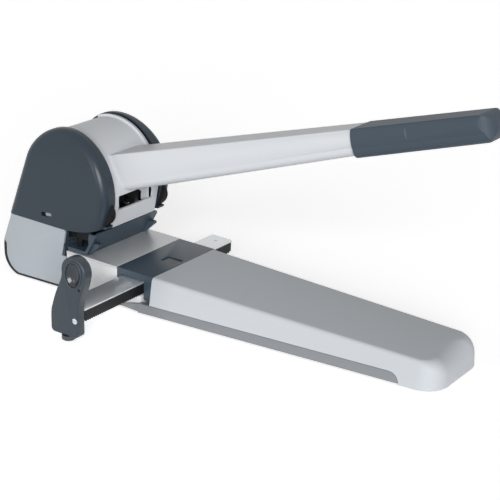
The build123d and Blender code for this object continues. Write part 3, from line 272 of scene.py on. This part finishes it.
class Workbench:
    """The modelling moves that the pieces share, each made with Blender's own operators."""

    @staticmethod
    def pick(piece: bpy.types.Object) -> None:
        """Selects one object alone and makes it active.

        Args:
            piece: The object.
        """
        bpy.ops.object.select_all(action="DESELECT")
        piece.select_set(True)
        bpy.context.view_layer.objects.active = piece

    @staticmethod
    def copy_of(node: bpy.types.Object, name: str) -> bpy.types.Object:
        """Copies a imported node, closes its loose triangles and clears its flat faces of diagonals.

        Args:
            node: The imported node.
            name: The copy's name.

        Returns:
            A new object with its own mesh, at the origin.
        """
        piece = bpy.data.objects.new(name, node.data.copy())
        bpy.context.scene.collection.objects.link(piece)
        Workbench.pick(piece)
        bpy.ops.object.mode_set(mode="EDIT")
        bpy.ops.mesh.select_all(action="SELECT")
        bpy.ops.mesh.remove_doubles(threshold=MERGE)
        bpy.ops.mesh.dissolve_limited(angle_limit=FLAT_ANGLE)
        bpy.ops.object.mode_set(mode="OBJECT")
        return piece

    @staticmethod
    def round_edges(piece: bpy.types.Object, width: float) -> None:
        """Rounds every edge whose faces meet at more than the rounded angle.

        Args:
            piece: The piece to round.
            width: Width of the rounding in metres.
        """
        Workbench.pick(piece)
        bevel = piece.modifiers.new("rounding", "BEVEL")
        bevel.width = width
        bevel.segments = ROUNDING_STEPS
        bevel.limit_method = "ANGLE"
        bevel.angle_limit = ROUNDED_ANGLE
        bpy.ops.object.modifier_apply(modifier=bevel.name)
        bpy.ops.object.shade_smooth_by_angle(angle=SMOOTH_ANGLE)

    @staticmethod
    def skin(name: str, rings: list[list[Vector]]) -> bpy.types.Object:
        """Stretches a grid over closed rings of points, each row of the grid lying on one ring.

        Args:
            name: The piece's name.
            rings: Rings with equal numbers of points, from the first edge to the last.

        Returns:
            An open sleeve with its seam closed.
        """
        around = len(rings[0]) + 1
        bpy.ops.object.select_all(action="DESELECT")
        bpy.ops.mesh.primitive_grid_add(x_subdivisions=around - 1, y_subdivisions=len(rings) - 1, size=1.0)
        piece = bpy.context.object
        piece.name = name
        piece.data.name = name
        for row, ring in enumerate(rings):
            for column in range(around):
                piece.data.vertices[row * around + column].co = ring[column % len(ring)]
        bpy.ops.object.mode_set(mode="EDIT")
        bpy.ops.mesh.select_all(action="SELECT")
        bpy.ops.mesh.remove_doubles(threshold=MERGE)
        bpy.ops.object.mode_set(mode="OBJECT")
        return piece

    @staticmethod
    def close_holes(piece: bpy.types.Object) -> None:
        """Fills a sleeve's open ends and turns its faces outwards.

        Args:
            piece: The sleeve.
        """
        Workbench.pick(piece)
        bpy.ops.object.mode_set(mode="EDIT")
        bpy.ops.mesh.select_all(action="SELECT")
        bpy.ops.mesh.fill_holes(sides=0)
        bpy.ops.mesh.select_all(action="SELECT")
        bpy.ops.mesh.normals_make_consistent(inside=False)
        bpy.ops.object.mode_set(mode="OBJECT")


class Paintshop:
    """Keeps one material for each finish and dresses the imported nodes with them."""

    def __init__(self, frame: dict) -> None:
        """Makes every material.

        Args:
            frame: What the frame's load call returned.
        """
        self.frame = frame
        self.materials = {finish.name: finish.material() for finish in FINISHES}

    @staticmethod
    def slots_of(frame: dict) -> dict[str, str]:
        """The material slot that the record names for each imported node."""
        return {part["node"]: part["material_slot"] for part in frame["record"]["subparts"]}

    def dress_nodes(self) -> None:
        """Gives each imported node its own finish, or else the one that the record names for it."""
        slots = self.slots_of(self.frame)
        for name, node in self.frame["nodes"].items():
            node.data.materials.clear()
            finish = OWN_FINISH[name].name if name in OWN_FINISH else slots[name]
            node.data.materials.append(self.materials[finish])
            LOG.info("dressed %s in %s", name, finish)

    def dress(self, piece: bpy.types.Object, finish: Finish) -> None:
        """Gives a piece one finish."""
        piece.data.materials.clear()
        piece.data.materials.append(self.materials[finish.name])


@dataclass
class EdgeWork:
    """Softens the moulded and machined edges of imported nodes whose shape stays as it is."""

    frame: dict
    widths_mm: dict[str, float] = field(default_factory=lambda: {
        "rail_bridge": 0.9, "base_casting": 0.8, "platform_plate": 0.5, "side_panel_left": 0.7,
        "side_panel_right": 0.7, "tray_plinth": 0.8, "base_pan": 0.5, "guide_rail": 0.35,
    })

    def build(self) -> None:
        """Replaces each named node by a copy with rounded edges."""
        slots = Paintshop.slots_of(self.frame)
        for name, width in self.widths_mm.items():
            node = self.frame["nodes"][name]
            body = body_of(node)[0]
            piece = Workbench.copy_of(node, f"{name}_finished")
            Workbench.round_edges(piece, width * MM)
            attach(piece, body)
            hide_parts(name)
            LOG.info("edges of %s rounded to %.2f mm", name, width)


@dataclass
class TrayCover:
    """Silver tray with rolled long edges, a rolled nose and the low openings along its sides."""

    machine: MachineFrame
    shop: Paintshop
    half_rear: float = 52.0
    half_front: float = 41.1
    length: float = 302.0
    nose: float = 322.0
    flare: float = 0.155
    edge_roll: float = 3.6
    nose_roll: tuple[float, float] = (18.5, 17.0)
    corner: float = 22.0
    rear: float = 0.8
    wall: float = 2.0
    drop_at_nose: float = 2.1
    roll_steps: int = 9
    corner_steps: int = 10
    foot_lift: float = 1.0          # gap between the cover's lower edge and the table
    rear_facing: float = 0.9        # least share of Y in the normal of a face of the rear end
    rear_from: float = -10.0        # and the Y behind which such a face lies
    top_tolerance: float = 0.02     # how far below the top's plane its points may lie
    opening_rear: float = 30.0
    opening_end: float = -272.0
    opening_height: float = 12.0
    opening_steps: int = 8
    cutter_low: float = -70.0
    cutter_half: float = 75.0

    def table(self, y: float) -> float:
        """Height of the table under the machine at y, in the machine's frame."""
        return -TABLE_DROP - y * math.tan(TILT)

    def ring(self, lean: float, bottom: bool) -> list[Vector]:
        """One closed ring of the cover's outside.

        Args:
            lean: Angle on the edge's roll, 0 on top and 90 where the side begins, in degrees.
            bottom: Whether this is the lowest ring, just above the table.

        Returns:
            The ring's points from the rear left, round the nose, to the rear right.
        """
        turn = math.radians(lean)
        taper = (self.half_rear - self.half_front) / self.length
        points = []
        for side, steps in ((-1, range(self.corner_steps + 1)), (1, range(self.corner_steps, -1, -1))):
            arc = []
            for step in steps:
                share = step / self.corner_steps
                angle = share * math.pi / 2
                roll_in = self.edge_roll + (self.nose_roll[0] - self.edge_roll) * share
                roll_down = self.edge_roll + (self.nose_roll[1] - self.edge_roll) * share
                inset = roll_in * (1.0 - math.sin(turn))
                centre_y = -self.nose + self.corner
                half = self.half_rear + taper * centre_y - self.corner
                reach = self.corner - inset
                y = centre_y - reach * math.sin(angle)
                top = self.drop_at_nose * y / self.length
                z = top - roll_down * (1.0 - math.cos(turn))
                if bottom:
                    z = self.table(y) + self.foot_lift
                spread = -z * self.flare
                x = half + reach * math.cos(angle) + spread
                arc.append(Vector((side * x, y, z)))
            inset = self.edge_roll * (1.0 - math.sin(turn))
            z = self.table(self.rear) + self.foot_lift if bottom else -self.edge_roll * (1.0 - math.cos(turn))
            half_width = self.half_rear + taper * self.rear - inset
            flank = Vector((side * (half_width - z * self.flare), self.rear, z))
            points += [flank, *arc] if side < 0 else [*arc, flank]
        return points

    def build(self) -> None:
        """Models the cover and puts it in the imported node's place."""
        leans = [90.0 * step / self.roll_steps for step in range(self.roll_steps + 1)]
        rings = [[p * MM for p in self.ring(lean, False)] for lean in leans]
        rings.append([p * MM for p in self.ring(leans[-1], True)])
        cover = Workbench.skin("tray_cover_finished", rings)
        Workbench.pick(cover)
        self.close_top(cover)
        self.cut_rear(cover)
        thick = cover.modifiers.new("wall", "SOLIDIFY")
        thick.thickness = self.wall * MM
        thick.offset = -1.0
        bpy.ops.object.modifier_apply(modifier=thick.name)
        self.cut_sides(cover)
        Workbench.pick(cover)
        bpy.ops.object.shade_smooth_by_angle(angle=SMOOTH_ANGLE)
        self.machine.settle(cover)
        self.shop.dress(cover, TRAY_PAINT)
        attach(cover, "base")
        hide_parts("tray_cover")
        LOG.info("tray cover modelled")

    def close_top(self, cover: bpy.types.Object) -> None:
        """Fills the top inside the first ring and turns the faces outwards.

        Args:
            cover: The open sleeve.
        """
        bpy.ops.object.mode_set(mode="EDIT")
        bpy.ops.mesh.select_mode(type="VERT")
        bpy.ops.mesh.select_all(action="DESELECT")
        bpy.ops.object.mode_set(mode="OBJECT")
        top = max(v.co.z for v in cover.data.vertices)
        fall = self.drop_at_nose / self.length
        for vertex in cover.data.vertices:
            vertex.select = vertex.co.z > top + fall * vertex.co.y - self.top_tolerance * MM
        bpy.ops.object.mode_set(mode="EDIT")
        bpy.ops.mesh.edge_face_add()
        bpy.ops.mesh.select_all(action="SELECT")
        bpy.ops.mesh.normals_make_consistent(inside=False)
        bpy.ops.object.mode_set(mode="OBJECT")

    def cut_rear(self, cover: bpy.types.Object) -> None:
        """Opens the rear end, where the bridge stands.

        Args:
            cover: The closed cover.
        """
        bpy.ops.object.mode_set(mode="EDIT")
        bpy.ops.mesh.select_mode(type="FACE")
        bpy.ops.mesh.select_all(action="DESELECT")
        bpy.ops.object.mode_set(mode="OBJECT")
        for face in cover.data.polygons:
            face.select = abs(face.normal.y) > self.rear_facing and face.center.y > self.rear_from * MM
        bpy.ops.object.mode_set(mode="EDIT")
        bpy.ops.mesh.delete(type="FACE")
        bpy.ops.object.mode_set(mode="OBJECT")

    def cut_sides(self, cover: bpy.types.Object) -> None:
        """Cuts the low openings along both sides, with their rounded front ends.

        Args:
            cover: The cover, with its wall's thickness.
        """
        cutter = self.side_cutter()
        cut = cover.modifiers.new("side_openings", "BOOLEAN")
        cut.operation = "DIFFERENCE"
        cut.solver = "EXACT"
        cut.object = cutter
        Workbench.pick(cover)
        bpy.ops.object.modifier_apply(modifier=cut.name)
        bpy.data.objects.remove(cutter)

    def side_cutter(self) -> bpy.types.Object:
        """Makes a bar across the machine with the opening's outline.

        Returns:
            The closed bar.
        """
        rear, end, height = self.opening_rear, self.opening_end, self.opening_height
        outline = [Vector((0, y, self.table(y) + height)) for y in (rear, end)]
        for step in range(1, self.opening_steps + 1):
            angle = step / self.opening_steps * math.pi / 2
            y = end - height * math.sin(angle)
            outline.append(Vector((0, y, self.table(y) + height * math.cos(angle))))
        outline += [Vector((0, y, self.cutter_low)) for y in (end - height, rear)]
        sides = (-self.cutter_half, self.cutter_half)
        rings = [[(p + Vector((x, 0, 0))) * MM for p in outline] for x in sides]
        cutter = Workbench.skin("side_cutter", rings)
        Workbench.close_holes(cutter)
        return cutter


@dataclass
class ArmDetails:
    """The guide arm's rounded body, its raised oval rim and its bowl-shaped button.

    A move is one step in from an oval's edge: the inset, then the way along X, in millimetres.
    """

    machine: MachineFrame
    shop: Paintshop
    frame: dict
    outer_x: float = -150.0
    centre: tuple[float, float] = (17.2, 30.2)
    lean: float = math.radians(6.0)
    points: int = 56
    rounding: float = 0.6
    rim_radii: tuple[float, float] = (11.0, 14.6)
    rim_back: float = 0.5           # how far inside the arm's outer side the rim starts
    rim_moves: tuple[tuple[float, float], ...] = (
        (0, -0.9), (0.3, -0.4), (0.4, -0.15), (0.5, 0.05), (0.4, 0.3), (0.2, 1.2))
    button_radii: tuple[float, float] = (9.1, 12.7)
    button_back: float = 4.4        # and the button
    button_moves: tuple[tuple[float, float], ...] = (
        (0, -4.0), (0.35, -0.18), (0.5, 0.3), (1.0, 1.3), (1.4, 1.2), (1.8, 0.8), (1.8, 0.3))

    def oval(self, name: str, radii: tuple[float, float], x: float) -> bpy.types.Object:
        """Starts an oval face that looks out of the arm's side.

        Args:
            name: The piece's name.
            radii: Half sizes across and up, in millimetres.
            x: Its place across the machine, in millimetres.

        Returns:
            The new object, in edit mode with its one face selected.
        """
        bpy.ops.object.select_all(action="DESELECT")
        bpy.ops.mesh.primitive_circle_add(vertices=self.points, radius=1.0, fill_type="NGON")
        piece = bpy.context.object
        piece.name = name
        bpy.ops.object.mode_set(mode="EDIT")
        bpy.ops.mesh.select_all(action="SELECT")
        bpy.ops.transform.resize(value=(radii[0] * MM, radii[1] * MM, 1.0))
        bpy.ops.object.mode_set(mode="OBJECT")
        lean = Matrix.Rotation(self.lean, 4, "X")
        upright = Matrix(((0, 0, -1, 0), (1, 0, 0, 0), (0, 1, 0, 0), (0, 0, 0, 1)))
        place = Matrix.Translation(Vector((x, *self.centre)) * MM)
        piece.matrix_world = place @ lean @ upright
        Workbench.pick(piece)
        bpy.ops.object.transform_apply(location=True, rotation=True, scale=True)
        bpy.ops.object.mode_set(mode="EDIT")
        bpy.ops.mesh.select_mode(type="FACE")
        bpy.ops.mesh.select_all(action="SELECT")
        return piece

    def steps(self, moves: tuple[tuple[float, float], ...]) -> None:
        """Works the selected face inwards move by move; a move without an inset draws a wall.

        Args:
            moves: The moves in order.
        """
        for inset, along in moves:
            if inset:
                bpy.ops.mesh.inset(thickness=inset * MM, depth=0.0)
                bpy.ops.transform.translate(value=(along * MM, 0.0, 0.0))
            else:
                bpy.ops.mesh.extrude_region_move(TRANSFORM_OT_translate={"value": (along * MM, 0.0, 0.0)})

    def open_ring(self, ring: bpy.types.Object) -> None:
        """Turns a stepped disc into a closed ring: both end faces go and their edges are bridged.

        Args:
            ring: The disc, left in edit mode as a ring.
        """
        bpy.ops.object.mode_set(mode="OBJECT")
        for face in ring.data.polygons:
            face.select = len(face.vertices) > 4
        bpy.ops.object.mode_set(mode="EDIT")
        bpy.ops.mesh.delete(type="FACE")
        bpy.ops.mesh.select_mode(type="EDGE")
        bpy.ops.mesh.select_all(action="DESELECT")
        bpy.ops.mesh.select_non_manifold()
        bpy.ops.mesh.bridge_edge_loops()
        bpy.ops.mesh.select_mode(type="FACE")

    def finish(self, piece: bpy.types.Object, finish: Finish, body: str, slot: str) -> None:
        """Smooths, places, dresses and mounts a piece.

        Args:
            piece: The piece, in edit mode.
            finish: Its finish.
            body: The body that it rides on.
            slot: The record's material slot for it; not used.
        """
        bpy.ops.mesh.select_all(action="SELECT")
        bpy.ops.mesh.normals_make_consistent(inside=False)
        bpy.ops.object.mode_set(mode="OBJECT")
        Workbench.pick(piece)
        bpy.ops.object.shade_smooth_by_angle(angle=OVAL_SMOOTH_ANGLE)
        self.machine.settle(piece)
        self.shop.dress(piece, finish)
        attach(piece, body)
        LOG.info("%s modelled", piece.name)

    def build(self) -> None:
        """Models the arm's body, rim and button."""
        body = Workbench.copy_of(self.frame["nodes"]["guide_arm"], "guide_arm_finished")
        Workbench.round_edges(body, self.rounding * MM)
        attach(body, "rail")
        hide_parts("guide_arm")
        LOG.info("guide arm rounded to %.2f mm", self.rounding)
        rim = self.oval("arm_rim", self.rim_radii, self.outer_x + self.rim_back)
        self.steps(self.rim_moves)
        self.open_ring(rim)
        self.finish(rim, ARM_PLASTIC, "rail", "slate_plastic")
        button = self.oval("release_button_finished", self.button_radii, self.outer_x + self.button_back)
        self.steps(self.button_moves)
        self.finish(button, BUTTON_PLASTIC, "button", "button_plastic")
        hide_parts("release_button")


@dataclass
class Studio:
    """Pale floor and world, two soft lamps, and the camera at the photograph's angle."""

    machine: MachineFrame
    eye_from_hinge: Vector = field(default_factory=lambda: Vector((-1.035504, -0.957476, 0.441131)))
    yaw: float = math.radians(54.08)
    pitch: float = math.radians(20.57)
    lens_mm: float = 98.96
    sensor_mm: float = 36.0
    floor_size: float = 12.0
    floor_colour: tuple[float, float, float, float] = (0.93, 0.93, 0.93, 1.0)
    floor_roughness: float = 0.9
    floor_specular: float = 0.1
    world_light: float = 0.20
    floor_glow: float = 0.58
    sun_strength: float = 2.95
    strip_power: float = 4.0
    strip_size: tuple[float, float] = (0.3, 0.9)
    strip_at: Vector = field(default_factory=lambda: Vector((-1.6, 0.40, 0.42)))
    sun_softness: float = math.radians(35.0)
    sun_from: Vector = field(default_factory=lambda: Vector((-0.76, -0.60, 0.25)))

    def background(self, nodes: bpy.types.Nodes, links: bpy.types.NodeLinks) -> bpy.types.NodeSocket:
        """Makes the test for rays that see the backdrop itself.

        Args:
            nodes: Nodes of the material or world.
            links: Links of the same tree.

        Returns:
            A socket that is 1 for camera, glossy and transmission rays.
        """
        path = nodes.new("ShaderNodeLightPath")
        first = nodes.new("ShaderNodeMath")
        first.operation = "MAXIMUM"
        second = nodes.new("ShaderNodeMath")
        second.operation = "MAXIMUM"
        links.new(path.outputs["Is Camera Ray"], first.inputs[0])
        links.new(path.outputs["Is Glossy Ray"], first.inputs[1])
        links.new(first.outputs["Value"], second.inputs[0])
        links.new(path.outputs["Is Transmission Ray"], second.inputs[1])
        return second.outputs["Value"]

    def build_world(self) -> None:
        """White to the camera, softer as a light."""
        world = bpy.data.worlds.new("studio_world")
        bpy.context.scene.world = world
        world.use_nodes = True
        nodes, links = world.node_tree.nodes, world.node_tree.links
        nodes.clear()
        seen = self.background(nodes, links)
        light = nodes.new("ShaderNodeBackground")
        light.inputs["Strength"].default_value = self.world_light
        white = nodes.new("ShaderNodeBackground")
        mix = nodes.new("ShaderNodeMixShader")
        output = nodes.new("ShaderNodeOutputWorld")
        for shader in (light, white):
            shader.inputs["Color"].default_value = WHITE
        links.new(seen, mix.inputs["Fac"])
        links.new(light.outputs["Background"], mix.inputs[1])
        links.new(white.outputs["Background"], mix.inputs[2])
        links.new(mix.outputs["Shader"], output.inputs["Surface"])

    def build_floor(self) -> None:
        """A plain pale floor, white to the camera, that keeps the shadow."""
        bpy.ops.object.select_all(action="DESELECT")
        bpy.ops.mesh.primitive_plane_add(size=self.floor_size, location=(0.0, 0.0, 0.0))
        floor = bpy.context.object
        floor.name = "studio_floor"
        material = bpy.data.materials.new("floor_white")
        material.use_nodes = True
        shader = material.node_tree.nodes["Principled BSDF"]
        shader.inputs["Base Color"].default_value = self.floor_colour
        shader.inputs["Roughness"].default_value = self.floor_roughness
        shader.inputs["Specular IOR Level"].default_value = self.floor_specular
        shader.inputs["Emission Color"].default_value = WHITE
        nodes, links = material.node_tree.nodes, material.node_tree.links
        glow = nodes.new("ShaderNodeMath")
        glow.operation = "MULTIPLY"
        glow.inputs[1].default_value = self.floor_glow
        links.new(self.background(nodes, links), glow.inputs[0])
        links.new(glow.outputs["Value"], shader.inputs["Emission Strength"])
        floor.data.materials.append(material)

    def build_sun(self) -> None:
        """Adds one broad soft light from the left front, low enough to leave the tops darker."""
        data = bpy.data.lights.new("soft_sun", "SUN")
        data.energy = self.sun_strength
        data.angle = self.sun_softness
        lamp = bpy.data.objects.new("soft_sun", data)
        lamp.rotation_euler = (-self.sun_from).to_track_quat("-Z", "Y").to_euler()
        bpy.context.scene.collection.objects.link(lamp)

    def build_strip(self) -> None:
        """Adds an upright strip lamp on the left, whose soft streak shows on the caps."""
        data = bpy.data.lights.new("strip_lamp", "AREA")
        data.shape = "RECTANGLE"
        data.size, data.size_y = self.strip_size
        data.energy = self.strip_power
        lamp = bpy.data.objects.new("strip_lamp", data)
        lamp.location = self.strip_at
        lamp.rotation_euler = (self.machine.hinge - lamp.location).to_track_quat("-Z", "Y").to_euler()
        bpy.context.scene.collection.objects.link(lamp)

    def build_camera(self) -> None:
        """Puts the camera where the photograph was taken from."""
        data = bpy.data.cameras.new("camera")
        data.lens = self.lens_mm
        data.sensor_width = self.sensor_mm
        camera = bpy.data.objects.new("camera", data)
        camera.location = self.machine.hinge + self.eye_from_hinge
        level = math.cos(self.pitch)
        ahead = Vector((math.sin(self.yaw) * level, math.cos(self.yaw) * level, -math.sin(self.pitch)))
        camera.rotation_euler = ahead.to_track_quat("-Z", "Y").to_euler()
        bpy.context.scene.collection.objects.link(camera)
        bpy.context.scene.camera = camera

    def build(self) -> None:
        """Sets up the whole studio."""
        bpy.context.scene.view_settings.view_transform = "Standard"
        self.build_world()
        self.build_floor()
        self.build_sun()
        self.build_strip()
        self.build_camera()
        LOG.info("studio ready")


def main() -> None:
    """Loads the frame, dresses it, models the pieces and sets up the studio."""
    logging.basicConfig(level=logging.INFO, format="%(name)s: %(message)s")
    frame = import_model()
    machine = MachineFrame(frame)
    shop = Paintshop(frame)
    shop.dress_nodes()
    EdgeWork(frame).build()
    TrayCover(machine, shop).build()
    ArmDetails(machine, shop, frame).build()
    Studio(machine).build()


if __name__ == "__main__":
    main()
